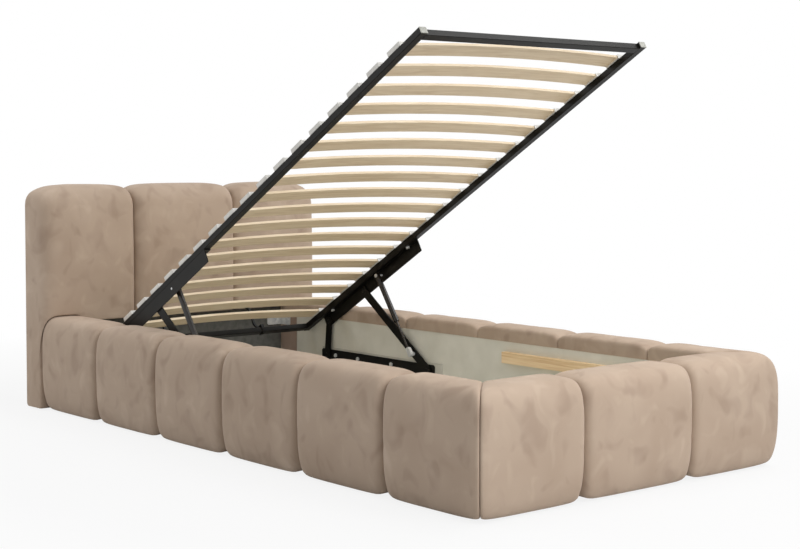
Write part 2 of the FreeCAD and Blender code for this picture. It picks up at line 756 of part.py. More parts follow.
def tube_end_cap():
    """Plastic plug with a plate that closes the foot end of a side tube."""
    wall = TUBE_WALL + SEAT_GAP
    end = -LID_LENGTH
    plate = box(TUBE_INNER_X, LID_HALF_WIDTH, end - CAP_PLATE, end, 0, TUBE_HEIGHT)
    rim = [edge for edge in plate.Edges if edge.BoundBox.YMax < end - CAP_PLATE + SEAT_GAP]
    plate = plate.makeChamfer(CAP_PLATE / 2, rim)
    plug = box(TUBE_INNER_X + wall, LID_HALF_WIDTH - wall, end, end + CAP_PLUG, wall, TUBE_HEIGHT - wall)
    return plate.fuse(plug)


def head_end_cap():
    cap = tube_end_cap()
    cap = cap.mirror(V(0, -LID_LENGTH / 2, 0), V(0, 1, 0))
    return cap


def upper_pivot(along, drop):
    return V(0, -UPPER_BRACKET_START - along, -drop)


def upper_bracket():
    """Angle under the side tube: a seat flange and a deep hanging flange with the pivots."""
    start = -UPPER_BRACKET_START
    end = start - UPPER_BRACKET_LENGTH
    hanging = box(FLANGE_X, LID_HALF_WIDTH, end, start, -UPPER_BRACKET_DROP, 0)
    low = [edge for edge in hanging.Edges if edge.BoundBox.XLength > PLATE - SEAT_GAP
           and edge.BoundBox.ZMax < -UPPER_BRACKET_DROP + SEAT_GAP]
    hanging = hanging.makeChamfer(UPPER_BRACKET_BEVEL, low)
    seat = box(TUBE_INNER_X, LID_HALF_WIDTH, end, start, -PLATE, 0)
    holes = [pin_hole(upper_pivot(LONG_ARM_PIVOT, LONG_PIVOT_DROP), FLANGE_X, LID_HALF_WIDTH)]
    strut = upper_pivot(STRUT_PIVOT, STRUT_PIVOT_DROP)
    stud_radius = STUD_RADIUS + RUNNING_GAP
    holes.append(rod_x(FLANGE_X - CUT_OVERRUN, LID_HALF_WIDTH + CUT_OVERRUN, strut, stud_radius))
    return hanging.fuse(seat).cut(holes)


def upper_bracket_bolts():
    bolts = []
    for spot in upper_bolt_spots():
        seat = V(spot.x, spot.y, -PLATE)
        head = hex_head_towards(seat, V(0, 0, -1), BOLT_HEAD_RADIUS, BOLT_HEAD_HEIGHT)
        bolts += both_sides(on_lid(head))
    return bolts


def strut_upper_stud():
    """Headed stud in the hanging flange that carries the gas spring's upper eye."""
    head_end = EYE_IN_X - SEAT_GAP
    shank = rod_x(head_end, LID_HALF_WIDTH, STRUT_TOP, STUD_RADIUS)
    return shank.fuse(rod_x(head_end - STUD_HEAD_HEIGHT, head_end, STRUT_TOP, STUD_HEAD_RADIUS))


# Slats and their holders

def slat_band(gap):
    """Bowed slat about y = 0, its ends standing on the holders' floors; gap thickens it all round."""
    half = LID_HALF_WIDTH - SLAT_END_INSET + gap
    low = TUBE_HEIGHT + HOLDER_FLOOR + SEAT_GAP - gap
    high = low + SLAT_THICKNESS + gap + gap
    width = SLAT_WIDTH + gap + gap
    y = width / 2
    outline = Part.Wire([
        arc(V(-half, y, low), V(0, y, low + SLAT_BOW), V(half, y, low)),
        line(V(half, y, low), V(half, y, high)),
        arc(V(half, y, high), V(0, y, high + SLAT_BOW), V(-half, y, high)),
        line(V(-half, y, high), V(-half, y, low)),
    ])
    return solid_from(outline, V(0, -width, 0))


def slat_holder():
    """Plastic socket on a side tube with a slat's end inside."""
    start = LID_HALF_WIDTH - HOLDER_REACH
    half = HOLDER_LENGTH / 2
    rise = SLAT_BOW * HOLDER_REACH / LID_HALF_WIDTH
    top = TUBE_HEIGHT + HOLDER_FLOOR + SLAT_THICKNESS + HOLDER_ROOF + rise + rise
    body = box(start, LID_HALF_WIDTH, -half, half, TUBE_HEIGHT, top)
    lip = [edge for edge in body.Edges if edge.BoundBox.ZMin > top - SEAT_GAP
           and edge.BoundBox.XMax < start + SEAT_GAP]
    body = body.makeChamfer(HOLDER_BEVEL, lip)
    return body.cut(slat_band(SEAT_GAP))


def along_slats(shape):
    """Copies of a level piece at every slat, in the open lid's pose."""
    copies = []
    for number in range(SLAT_COUNT):
        piece = shape.copy()
        piece.translate(V(0, -SLAT_FIRST - number * SLAT_PITCH, 0))
        copies.append(on_lid(piece))
    return copies


# Mattress stop

def stop_line_y():
    return -HEAD_TUBE_INSET - TUBE_WIDTH / 2


def stop_bend(corner, before, after):
    """Points of a tangent quarter bend at a corner of the hoop: start, middle, end."""
    start = corner + before * STOP_BEND
    end = corner + after * STOP_BEND
    centre = start + after * STOP_BEND
    outward = (corner - centre).normalize()
    return start, centre + outward * STOP_BEND, end


def mattress_stop():
    """Square bar hoop standing on the head tube, with its feet turned outward along the tube."""
    y = stop_line_y()
    half_bar = STOP_BAR / 2
    foot_z = TUBE_HEIGHT + half_bar
    top_z = TUBE_HEIGHT + STOP_HEIGHT
    up = V(0, 0, 1)
    foot_corner = V(STOP_HALF_SPAN, y, foot_z)
    top_corner = V(STOP_HALF_SPAN, y, top_z)
    foot_tip = V(STOP_HALF_SPAN + STOP_FOOT, y, foot_z)
    low = stop_bend(foot_corner, X_AXIS, up)
    high = stop_bend(top_corner, -up, -X_AXIS)
    half = [line(foot_tip, low[0]), arc(*low), line(low[2], high[0]), arc(*high)]
    bridge = line(high[2], V(-high[2].x, y, top_z))
    other = [mirrored(edge) for edge in half]
    path = Part.Wire(Part.__sortEdges__(half + [bridge] + other))
    corners = [foot_tip + V(0, y_way * half_bar, z_way * half_bar)
               for y_way, z_way in ((1, 1), (-1, 1), (-1, -1), (1, -1), (1, 1))]
    profile = Part.makePolygon(corners)
    return path.makePipeShell([profile], True, False)


def stop_clip():
    """Strap round the head tube and a foot of the hoop, drawn up by a bolt below."""
    gap = SEAT_GAP
    x0 = STOP_HALF_SPAN + CLIP_OFFSET
    x1 = x0 + CLIP_WIDTH
    y1 = -HEAD_TUBE_INSET + gap
    y0 = y1 - TUBE_WIDTH - gap - gap
    top = TUBE_HEIGHT + STOP_BAR + gap
    wall = CLIP_THICKNESS
    strap = box(x0, x1, y0 - wall, y1 + wall, -gap - wall, top + wall).cut(box(x0, x1, y0, y1, -gap, top))
    under = V((x0 + x1) / 2, stop_line_y(), -gap - wall)
    return strap.fuse(hex_head_towards(under, V(0, 0, -1), SCREW_HEAD_RADIUS, SCREW_HEAD_HEIGHT))


# Gas springs, drawn along +Y from the upper eye and then laid along the strut's line

def along_strut(shape):
    placed = shape.copy()
    angle = math.degrees(math.atan2(STRUT_DIRECTION.z, STRUT_DIRECTION.y))
    placed.rotate(V(0, 0, 0), X_AXIS, angle)
    placed.translate(V(STRUT_X, STRUT_TOP.y, STRUT_TOP.z))
    return placed


def strut_tongue(start, end):
    """Flat tongue across the strut's line with bevelled end corners."""
    half = EYE_WIDTH / 2
    tongue = box(-half, half, start, end, -EYE_RADIUS, EYE_RADIUS)
    corners = [edge for edge in tongue.Edges if edge.BoundBox.XLength > EYE_WIDTH - SEAT_GAP]
    return tongue.makeChamfer(TONGUE_BEVEL, corners)


def rod_y(radius, start, end):
    return Part.makeCylinder(radius, end - start, V(0, start, 0), V(0, 1, 0))


def gas_cylinder():
    """Closed cylinder with its upper tongue and the bore that the rod runs in."""
    end = CYLINDER_START + CYLINDER_LENGTH
    body = rod_y(CYLINDER_RADIUS, CYLINDER_START, end)
    tongue = strut_tongue(-EYE_RADIUS, CYLINDER_START + TONGUE_BEVEL)
    bore = rod_y(ROD_RADIUS + RUNNING_GAP, CYLINDER_START + CYLINDER_CAP, end + CUT_OVERRUN)
    hole = rod_x(-EYE_WIDTH, EYE_WIDTH, V(0, 0, 0), STUD_RADIUS + RUNNING_GAP)
    return along_strut(body.fuse(tongue).cut([bore, hole]))


def gas_rod():
    start = CYLINDER_START + CYLINDER_LENGTH - ROD_OVERLAP
    return along_strut(rod_y(ROD_RADIUS, start, STRUT_LENGTH - ROD_END_LENGTH))


def gas_rod_end():
    """Tongue on the rod's lower end."""
    return along_strut(strut_tongue(STRUT_LENGTH - ROD_END_LENGTH, STRUT_LENGTH + EYE_RADIUS))


def build():
    save("headboard_upholstery", headboard_upholstery())
    save("headboard_panel", headboard_panel())
    save("headboard_frame", *headboard_frame())
    save("headboard_front_lining", headboard_front_lining())
    save("headboard_back_lining", headboard_back_lining())
    save_pair("side_upholstery", side_upholstery())
    save("foot_upholstery", foot_upholstery())
    save_pair("side_board", side_board())
    save("foot_board", foot_board())
    save_pair("rail_end_flap", rail_end_flap())

    foot_panel, head_panel = floor_panels()
    save("floor_panel_foot", foot_panel)
    save("floor_panel_head", head_panel)
    save("floor_bearers", *floor_bearers())
    save("glide_feet", *glide_feet())
    save_pair("rest_batten", rest_batten())
    save_pair("corner_bracket_head", corner_plate(*HEAD_CORNER))
    save_pair("corner_bracket_foot", corner_plate(*FOOT_CORNER))
    screws = corner_screws(*HEAD_CORNER) + corner_screws(*FOOT_CORNER)
    save("corner_screws", *screws, *[mirrored(screw) for screw in screws])

    save_pair("mechanism_packer", mechanism_packer())
    save_pair("lower_bracket", lower_bracket())
    save("lower_bracket_bolts", *lower_bracket_bolts())
    base_pins = [pivot_pin(spot, PACKER_X) for spot in (SHORT_ARM_BASE, LONG_ARM_BASE)]
    save("lower_pivot_pins", *base_pins, *[mirrored(pin) for pin in base_pins])
    save_pair("long_arm", arm(LONG_ARM_BASE, LONG_ARM_TOP, [LONG_ARM_BASE, LONG_ARM_TOP]))
    save("strut_lower_studs", *both_sides(strut_lower_stud()))
    save_pair("short_arm", arm(SHORT_ARM_BASE, SHORT_ARM_TOP, [SHORT_ARM_BASE]))
    save("short_arm_rivets", *both_sides(short_arm_rivet()))

    save_pair("lid_side_tube", on_lid(lid_side_tube()))
    save("lid_head_tube", on_lid(lid_cross_tube(-HEAD_TUBE_INSET)))
    save("lid_foot_tube", on_lid(lid_cross_tube(-LID_LENGTH + FOOT_TUBE_INSET + TUBE_WIDTH)))
    caps = [on_lid(tube_end_cap()), on_lid(head_end_cap())]
    save("tube_end_caps", *caps, *[mirrored(cap) for cap in caps])
    save_pair("upper_bracket", on_lid(upper_bracket()))
    save("upper_bracket_bolts", *upper_bracket_bolts())
    save("upper_pivot_pins", *both_sides(pivot_pin(LONG_ARM_TOP, LID_HALF_WIDTH)))
    save("strut_upper_studs", *both_sides(strut_upper_stud()))
    save("slats", *along_slats(slat_band(0)))
    save("slat_holders_right", *along_slats(slat_holder()))
    save("slat_holders_left", *along_slats(mirrored(slat_holder())))
    save("mattress_stop", on_lid(mattress_stop()))
    clip = stop_clip()
    save("mattress_stop_clips", on_lid(clip), on_lid(mirrored(clip)))

    save_pair("gas_cylinder", gas_cylinder())
    save_pair("gas_rod", gas_rod())
    save("gas_rod_ends", *both_sides(gas_rod_end()))


def print_motion():
    """Travel of each joint from the open pose to the closed one, for the record."""
    long_top = CLOSED_ORIGIN + V(0, -UPPER_BRACKET_START - LONG_ARM_PIVOT, -LONG_PIVOT_DROP)
    short_top = CLOSED_ORIGIN + V(0, -UPPER_BRACKET_START - SHORT_ARM_PIVOT, -SHORT_PIVOT_DROP)
    strut_top = CLOSED_ORIGIN + V(0, -UPPER_BRACKET_START - STRUT_PIVOT, -STRUT_PIVOT_DROP)
    long_line = long_top - LONG_ARM_BASE
    strut_foot = LONG_ARM_BASE + long_line * (STRUT_FOOT_REACH / LONG_ARM_LENGTH)
    long_turn = turn(LONG_ARM_TOP - LONG_ARM_BASE, long_line)
    short_turn = turn(SHORT_ARM_TOP - SHORT_ARM_BASE, short_top - SHORT_ARM_BASE)
    strut_turn = turn(STRUT_DIRECTION, strut_foot - strut_top)
    travel = (strut_foot - strut_top).Length - STRUT_LENGTH
    print("closed lid corner", CLOSED_ORIGIN, "batten top", BATTEN_TOP)
    print("long arm turn", long_turn, "lid turn on long arm", LID_TILT - long_turn)
    print("short arm turn", short_turn, "strut turn on lid", strut_turn - LID_TILT)
    print("strut open", STRUT_LENGTH, "rod travel", travel, "strut direction", STRUT_DIRECTION)
    print("pivots", SHORT_ARM_BASE, LONG_ARM_BASE, SHORT_ARM_TOP, LONG_ARM_TOP, STRUT_TOP, STRUT_FOOT)


def turn(before, after):
    """Right-hand turn about +X, in degrees, from one direction to another."""
    angle = math.atan2(after.z, after.y) - math.atan2(before.z, before.y)
    return math.degrees(math.atan2(math.sin(angle), math.cos(angle)))


os.makedirs("parts", exist_ok=True)
build()
print_motion()
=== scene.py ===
import math

import bpy
import numpy as np
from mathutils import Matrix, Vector


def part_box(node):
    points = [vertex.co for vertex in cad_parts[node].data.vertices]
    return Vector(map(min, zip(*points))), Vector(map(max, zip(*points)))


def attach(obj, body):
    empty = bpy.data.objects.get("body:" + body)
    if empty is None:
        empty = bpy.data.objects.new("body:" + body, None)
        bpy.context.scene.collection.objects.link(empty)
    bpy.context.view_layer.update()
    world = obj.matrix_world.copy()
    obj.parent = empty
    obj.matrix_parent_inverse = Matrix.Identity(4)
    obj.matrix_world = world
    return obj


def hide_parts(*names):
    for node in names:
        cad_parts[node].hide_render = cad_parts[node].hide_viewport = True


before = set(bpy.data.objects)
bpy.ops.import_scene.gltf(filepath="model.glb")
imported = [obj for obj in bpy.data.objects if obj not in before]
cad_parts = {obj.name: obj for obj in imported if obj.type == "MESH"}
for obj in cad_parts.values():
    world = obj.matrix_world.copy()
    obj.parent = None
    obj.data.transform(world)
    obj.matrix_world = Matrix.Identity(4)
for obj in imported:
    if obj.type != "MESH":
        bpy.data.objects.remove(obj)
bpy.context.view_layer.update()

# Looks of an upholstered storage bed: padded velvet rails and headboard, linings, finishes, light.
# Metres, +X across the bed, +Y towards the headboard, +Z up.
# A name with SHARE is a share of a whole, one with POWER bends a superellipse, one with STEPS is a count.

# Fits, and the distance under which two places count as one
SEAT = 0.0003
SEAM = 0.0002
SAME_PLACE = 0.0005

# Padded rails: section
RAIL_PROUD = 0.008
RAIL_SINK = 0.010
RAIL_SAG = 0.010
INNER_HIGH = 0.034
CREST_SHARE = 0.46
LOWER_ROUND = 0.030
LOWER_GROWTH = 0.030
FACE_MIDDLE_SHARE = 0.5
FACE_POWER = 2.6
SHOULDER_POWER = 3.8
INNER_POWER = 6.0

# Padded rails: sewn channels, mitres and the end at the headboard
SIDE_CHANNELS = 6
FOOT_CREASE = 0.215
CREASE_DEPTH = 0.046
CREASE_DROP = 0.025
CREASE_LIFT = 0.008
CREASE_ROUND = 0.027
CREST_ROUND = 0.085
SAG_ROUND = 0.150
HEM_LIFT = 0.030
HEM_ROUND = 0.050
BAND_CREASE = 0.007
FULL_POWER = 2.6
MITRE_ROUND = 0.034
MITRE_FULL_SHARE = 0.74
MITRE_HEM_SHARE = 0.96
END_FULL_SHARE = 0.55
END_CREST_SHARE = 0.75

# Padded rails: points of the skin
STATION_STEP = 0.012
LEAST_STEPS = 2
ROUND_STEPS = 9
BAND_STEPS = 3
EDGE_STEPS = 12
SHOULDER_STEPS = 20
LOWER_STEPS = 18
UNDER_STEPS = 5
BOARD_STEPS = 8
BOARD_TOP_STEPS = 2
END_FANS = 2

# Padded headboard: channels and sides
HEAD_CREASE = 0.220
HEAD_CROWN = 0.026
HEAD_CREASE_DEPTH = 0.034
HEAD_DROP = 0.040
HEAD_CREASE_ROUND = 0.060
HEAD_CREST_ROUND = 0.110
HEAD_PROUD = 0.008
HEAD_SIDE_RECESS = 0.036
HEAD_SIDE_ROUND = 0.055
HEAD_SIDE_DROP = 0.060
HEAD_SIDE_CREST_ROUND = 0.150
HEAD_SIDE_BULGE = 0.003
HEAD_SIDE_SHARES = (0.94, 0.75, 0.4, 0.05)
HEAD_FRONT_ROUND = 0.062
HEAD_BACK_ROUND = 0.014
HEAD_TUCK = 0.005
HEAD_BULGE = 0.005
HEAD_FACE_LOW = 0.400

# Padded headboard: legs behind the rails' ends and the pocket round the panel
LEG_ROUND = 0.020
LEDGE_GAP = 0.002
LEDGE_SLOPE = 0.010
HEM_BACK_ROUND = 0.014
POCKET_EDGE = 0.0005
PANEL_EDGE = 0.0002

# Padded headboard: points of the skin
BACK_STEPS = 2
BACK_ROUND_STEPS = 3
HEAD_TOP_STEPS = 3
HEAD_FRONT_STEPS = 9
HEAD_FACE_STEPS = 30
HEAD_SKIRT_STEPS = 6
HEAD_TUCK_STEPS = 4
LEDGE_STEPS = 2
LEG_STEPS = 10
LEG_HEM_STEPS = 7
HEM_BACK_STEPS = 4
POCKET_STEPS = 4
POCKET_TOP_STEPS = 2

# Filling
BLOW_FRAMES = 14
BLOW_PRESSURE = 4.0
BLOW_QUALITY = 5
BLOW_STRETCH = 20
BLOW_SHEAR = 8
BLOW_BEND = 2
RAIL_SWELL = 0.006
HEAD_SWELL = 0.009
SHARP_ANGLE = math.radians(50)

# Linings and flaps
SHEET_STEP = 0.010
ACROSS_X = 0
ALONG_Y = 1

# Ripple of the linings and flaps, with its waves in radians per metre and its phases in radians
SHEET_RIPPLE = 0.0005
RIPPLE_ACROSS = 31
RIPPLE_UP = 23
SLANT_ACROSS = 11
SLANT_UP = 17
FRONT_PHASE = 1
BACK_PHASE = 2

# Velvet
VELVET_TONE_SCALE = 6.0
VELVET_TONE_TWIST = 0.4
VELVET_TONE_STOPS = (0.34, 0.66)
VELVET_MARK_SCALE = 15.0
VELVET_MARK_STRETCH = (1, 1, 0.8)
VELVET_MARK_TWIST = 0.6
VELVET_MARK_STOPS = (0.28, 0.46, 0.58, 0.76)
VELVET_MARK_SHARE = 0.54
VELVET_DETAIL = 1.5
VELVET_ROUGHNESS = 0.9
VELVET_GLOSS = 0.1
VELVET_SHEEN = 0.2
VELVET_SHEEN_ROUGHNESS = 0.45
VELVET_SHEEN_TINT = (255, 242, 230)
NAP_SCALE = 620.0
NAP_DETAIL = 2.0
NAP_STRENGTH = 0.12
NAP_HEIGHT = 0.0005

# Plain finishes
PATCH_DETAIL = 3.0
PATCH_STOPS = (0.35, 0.65)
GRAIN_DETAIL = 2.0
GRAIN_HEIGHT = 0.0004

# Timber
FIGURE_DETAIL = 4.0
FIGURE_TWIST = 1.2
FIGURE_STOPS = (0.34, 0.48, 0.62)
STREAK_FINENESS = 5
STREAK_DETAIL = 2.0
STREAK_STOPS = (0.3, 0.6)
STREAK_SHARE = 0.5
STREAK_STRENGTH = 0.12

# Screen colours
SCREEN_WHITE = 255
SCREEN_KNEE = 0.04045
SCREEN_SLOPE = 12.92
SCREEN_OFFSET = 0.055
SCREEN_GAMMA = 2.4

# Camera, with its angles in radians and its lens in millimetres
CAMERA_PLACE = (-3.1889, -4.0041, 0.9101)
CAMERA_DIP = 0.04529
CAMERA_YAW = -0.6958
CAMERA_LENS = 70.742
CAMERA_SHIFT = -0.06
SENSOR_WIDTH = 36.0

# Floor and dome
WHITE = (1, 1, 1, 1)
SEEN_STRENGTH = 1.0
DOME_STRENGTH = 0.50
FLOOR_REACH = 30.0
FLOOR_TONE = (0.62, 0.62, 0.62, 1)
FLOOR_ROUGHNESS = 0.9
FLOOR_FADE = (0.42, 0.30, 1)
FLOOR_FADE_SHARE = 0.45
FLOOR_GLOW_SHARE = 0.86

# Soft lamps: place, point that the lamp faces, width and watts
LAMPS = {
    "key": ((0, -3.5, 2.2), (0, -1.0, 0.2), 2.0, 62),
    "top": ((1.7, -0.9, 3.7), (0, -0.6, 0), 2.8, 82),
    "fill": ((-2.4, 2.2, 2.3), (-0.6, 0.9, 0.4), 1.6, 26),
}

# Corners taken from the frame
rail_low, rail_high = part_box("side_upholstery_right")
board_low, board_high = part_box("side_board_right")
panel_low, panel_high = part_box("headboard_panel")
lining_low, lining_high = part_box("headboard_front_lining")
back_lining_low, back_lining_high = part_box("headboard_back_lining")
head_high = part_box("headboard_upholstery")[1]

# Places worked out from those corners
INNER_X = board_low.x
BOARD_BACK = board_high.x - board_low.x + SEAT
BOARD_TOP = board_high.z + SEAT
BAND = rail_low.x - board_low.x
HALF_WIDTH = rail_high.x
RAIL_DEPTH = HALF_WIDTH - INNER_X
RAIL_TOP = rail_high.z - RAIL_SINK
RAIL_LOW = rail_low.z
RAIL_HEAD_Y = rail_high.y
FOOT_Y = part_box("foot_upholstery")[0].y
FOOT_INNER_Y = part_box("foot_board")[1].y
HEM = RAIL_LOW - RAIL_SAG
HEAD_TOP = head_high.z
BACK_Y = head_high.y
PANEL_FRONT = panel_low.y - SEAT
PANEL_SIDE = panel_high.x + SEAT
PANEL_TOP = panel_high.z + SEAT
CROWN_LOW = lining_high.z + SEAT
HEAD_HALF_WIDTH = HALF_WIDTH + HEAD_PROUD
LEG_RECESS = HEAD_SIDE_RECESS - HEAD_CROWN


# Meshes

def piece_from(name, points, faces):
    mesh = bpy.data.meshes.new(name)
    mesh.from_pydata(points, [], faces)
    mesh.validate()
    mesh.update()
    piece = bpy.data.objects.new(name, mesh)
    bpy.context.scene.collection.objects.link(piece)
    return piece


def tube_faces(rings, count):
    """Faces of a closed skin through rings of count points each, with a fan over each end."""
    faces = []
    for ring in range(rings - 1):
        for spot in range(count):
            after = (spot + 1) % count
            here = ring * count
            ahead = here + count
            faces.append((here + spot, ahead + spot, ahead + after, here + after))
    first_middle = rings * count
    last_middle = first_middle + 1
    last = (rings - 1) * count
    for spot in range(count):
        after = (spot + 1) % count
        faces.append((spot, after, first_middle))
        faces.append((last + after, last + spot, last_middle))
    return faces


def skin(name, rings):
    """Closed piece through rings of points."""
    count = len(rings[0])
    points = [point for ring in rings for point in ring]
    for ring in (rings[0], rings[-1]):
        points.append(tuple(np.mean(np.array(ring), axis=0)))
    piece = piece_from(name, points, tube_faces(len(rings), count))
    turn_outward(piece.data)
    return piece


def turn_outward(mesh):
    """Turn all faces outward, by the sign of the closed skin's volume."""
    volume = 0
    for face in mesh.polygons:
        corners = [mesh.vertices[index].co for index in face.vertices]
        for second, third in zip(corners[1:], corners[2:]):
            volume += corners[0].dot(second.cross(third))
    if volume < 0:
        mesh.flip_normals()


def soften(piece):
    piece.data.shade_smooth()
    piece.data.set_sharp_from_angle(angle=SHARP_ANGLE)


def read_points(mesh):
    points = np.zeros(len(mesh.vertices) * 3)
    mesh.vertices.foreach_get("co", points)
    return points.reshape(-1, 3)


def write_points(mesh, points):
    mesh.vertices.foreach_set("co", points.reshape(-1))
    mesh.update()


def mirrored(piece, name):
    """The same piece on the bed's other side."""
    mesh = piece.data.copy()
    mesh.name = name
    write_points(mesh, read_points(mesh) * np.array((-1, 1, 1)))
    mesh.flip_normals()
    twin = bpy.data.objects.new(name, mesh)
    bpy.context.scene.collection.objects.link(twin)
    return twin


# Outlines

def steps(start, end, count):
    """Points from start towards end, the end left to the next run."""
    start = np.array(start)
    end = np.array(end)
    return [tuple(start + (end - start) * number / count) for number in range(count)]


def quarter(start, corner, end, power, count):
    """Points of a quarter of a superellipse from start towards end, full towards a corner."""
    start, corner, end = (np.array(point) for point in (start, corner, end))
    points = []
    for number in range(count):
        turn = math.pi / 2 * number / count
        first = 1 - math.sin(turn) ** (2 / power)
        second = 1 - math.cos(turn) ** (2 / power)
        points.append(tuple(corner + (start - corner) * first + (end - corner) * second))
    return points


def arc(centre, radius, start, end, count):
    """Points of an arc given in degrees; radius may be one value or one for each direction."""
    wide, high = radius if isinstance(radius, tuple) else (radius, radius)
    points = []
    for number in range(count):
        turn = math.radians(start + (end - start) * number / count)
        points.append((centre[0] + wide * math.cos(turn), centre[1] + high * math.sin(turn)))
    return points


# Sewn channels

def fullness(distance, length, least=0):
    """From least in a seam to 1 beyond a rounding of some length."""
    short = max(0, 1 - distance / length)
    return least + (1 - least) * (1 - short ** FULL_POWER) ** (1 / FULL_POWER)


def channel(length):
    """Places along one channel from seam to seam, closer together near the seams."""
    near = []
    for number in range(ROUND_STEPS):
        near.append(CREST_ROUND * (1 - math.cos(math.pi / 2 * number / ROUND_STEPS)))
    count = max(LEAST_STEPS, round((length - CREST_ROUND - CREST_ROUND) / STATION_STEP))
    middle = np.linspace(CREST_ROUND, length - CREST_ROUND, count + 1)
    return near + list(middle) + [length - place for place in near[::-1]]


# Padded rails

def rail_outline(deep, high, hung, hem):
    """Outline (distance out of the board's inner face, height) of a rail.

    The four values are 0 in a crease and 1 beyond its rounding: for the face, the crest, the sag of the
    hem and the rounding of the hem's ends.
    """
    out = RAIL_DEPTH + RAIL_PROUD - CREASE_DEPTH * (1 - deep)
    top = RAIL_TOP - CREASE_DROP * (1 - high)
    low = HEM + CREASE_LIFT * (1 - hung) + HEM_LIFT * (1 - hem)
    middle = low + (top - low) * FACE_MIDDLE_SHARE
    band = BAND + BAND_CREASE * (1 - deep)
    crest = band + (out - band) * CREST_SHARE
    lower = LOWER_ROUND + LOWER_GROWTH * (1 - hem)
    inner_low = max(low, RAIL_LOW)
    points = steps((band, BOARD_TOP), (band, top - INNER_HIGH), BAND_STEPS)
    points += quarter((band, top - INNER_HIGH), (band, top), (crest, top), INNER_POWER, EDGE_STEPS)
    points += quarter((crest, top), (out, top), (out, middle), SHOULDER_POWER, SHOULDER_STEPS)
    points += quarter((out, middle), (out, low), (out - lower, low), FACE_POWER, LOWER_STEPS)
    points += steps((out - lower, low), (BOARD_BACK, inner_low), UNDER_STEPS)
    points += steps((BOARD_BACK, inner_low), (BOARD_BACK, BOARD_TOP), BOARD_STEPS)
    points += steps((BOARD_BACK, BOARD_TOP), (band, BOARD_TOP), BOARD_TOP_STEPS)
    return points


def crease_outline(distance):
    """Outline at a distance from a crease."""
    lengths = (CREASE_ROUND, CREST_ROUND, SAG_ROUND, HEM_ROUND)
    return rail_outline(*[fullness(distance, length) for length in lengths])


def end_outline(distance):
    """Outline near the rail's end at the headboard, drawn in less than in a crease."""
    deep = fullness(distance, CREASE_ROUND, END_FULL_SHARE)
    high = fullness(distance, CREST_ROUND, END_CREST_SHARE)
    return rail_outline(deep, high, fullness(distance, SAG_ROUND), fullness(distance, HEM_ROUND))


def corner_outline(place, length):
    """Outline in a corner channel, from its mitre to its crease."""
    if place < length / 2:
        full = fullness(place, MITRE_ROUND, MITRE_FULL_SHARE)
        hem = fullness(place, MITRE_ROUND, MITRE_HEM_SHARE)
        return rail_outline(full, full, fullness(place, SAG_ROUND), hem)
    return crease_outline(length - place)


def side_rail(name):
    """Right-hand rail: a corner channel cut along the mitre, then equal channels to the headboard."""
    pitch = (RAIL_HEAD_Y - FOOT_Y) / SIDE_CHANNELS
    rings = []
    pinned_rings = [0]
    for place in channel(pitch):
        ring = []
        for out, up in corner_outline(place, pitch):
            seam = FOOT_INNER_Y - out + SEAM
            ring.append((INNER_X + out, seam + (FOOT_Y + pitch - seam) * place / pitch, up))
        rings.append(ring)
    for number in range(1, SIDE_CHANNELS):
        pinned_rings.append(len(rings) - 1)
        for place in channel(pitch)[1:]:
            y = FOOT_Y + number * pitch + place
            last = number == SIDE_CHANNELS - 1 and place > pitch / 2
            outline = end_outline(pitch - place) if last else crease_outline(min(place, pitch - place))
            rings.append([(INNER_X + out, y, up) for out, up in outline])
    pinned_rings.append(len(rings) - 1)
    return skin(name, rings), pinned_rings


def foot_rail(name):
    """Foot rail: a middle channel between two corner channels cut along the mitres."""
    length = HALF_WIDTH - FOOT_CREASE
    width = FOOT_CREASE + FOOT_CREASE

    def corner_ring(place, side):
        ring = []
        for out, up in corner_outline(place, length):
            seam = INNER_X + out - SEAM
            ring.append((side * (seam + (FOOT_CREASE - seam) * place / length), FOOT_INNER_Y - out, up))
        return ring

    rings = [corner_ring(place, -1) for place in channel(length)]
    pinned_rings = [0, len(rings) - 1]
    for place in channel(width)[1:]:
        outline = crease_outline(min(place, width - place))
        rings.append([(place - FOOT_CREASE, FOOT_INNER_Y - out, up) for out, up in outline])
    pinned_rings.append(len(rings) - 1)
    rings += [corner_ring(place, 1) for place in channel(length)[::-1][1:]]
    pinned_rings.append(len(rings) - 1)
    return skin(name, rings), pinned_rings


def rail_pins(piece, pinned_rings):
    """Points that stay: creases, seams, fan middles and all that lies on the boards or faces the floor."""
    count = len(rail_outline(1, 1, 1, 1))
    rings = (len(piece.data.vertices) - END_FANS) // count
    round_steps = EDGE_STEPS + SHOULDER_STEPS + LOWER_STEPS
    shown = range(BAND_STEPS + 1, BAND_STEPS + round_steps - 1)
    held = [rings * count, rings * count + 1]
    for ring in range(rings):
        for spot in range(count):
            if ring in pinned_rings or spot not in shown:
                held.append(ring * count + spot)
    return held


# Padded headboard

def rail_top(x):
    """Height of a rail's rounded top at a place across the bed."""
    out = abs(x) - INNER_X
    room = RAIL_DEPTH + RAIL_PROUD - BAND
    reach = (out - BAND) / room
    past = min(1, max(0, (reach - CREST_SHARE) / (1 - CREST_SHARE)))
    short = min(1, max(0, 1 - reach / CREST_SHARE))
    half = (RAIL_TOP - HEM) * FACE_MIDDLE_SHARE
    outer = half * (1 - (1 - past ** SHOULDER_POWER) ** (1 / SHOULDER_POWER))
    inner = INNER_HIGH * (1 - (1 - short ** INNER_POWER) ** (1 / INNER_POWER))
    return RAIL_TOP - max(outer, inner)


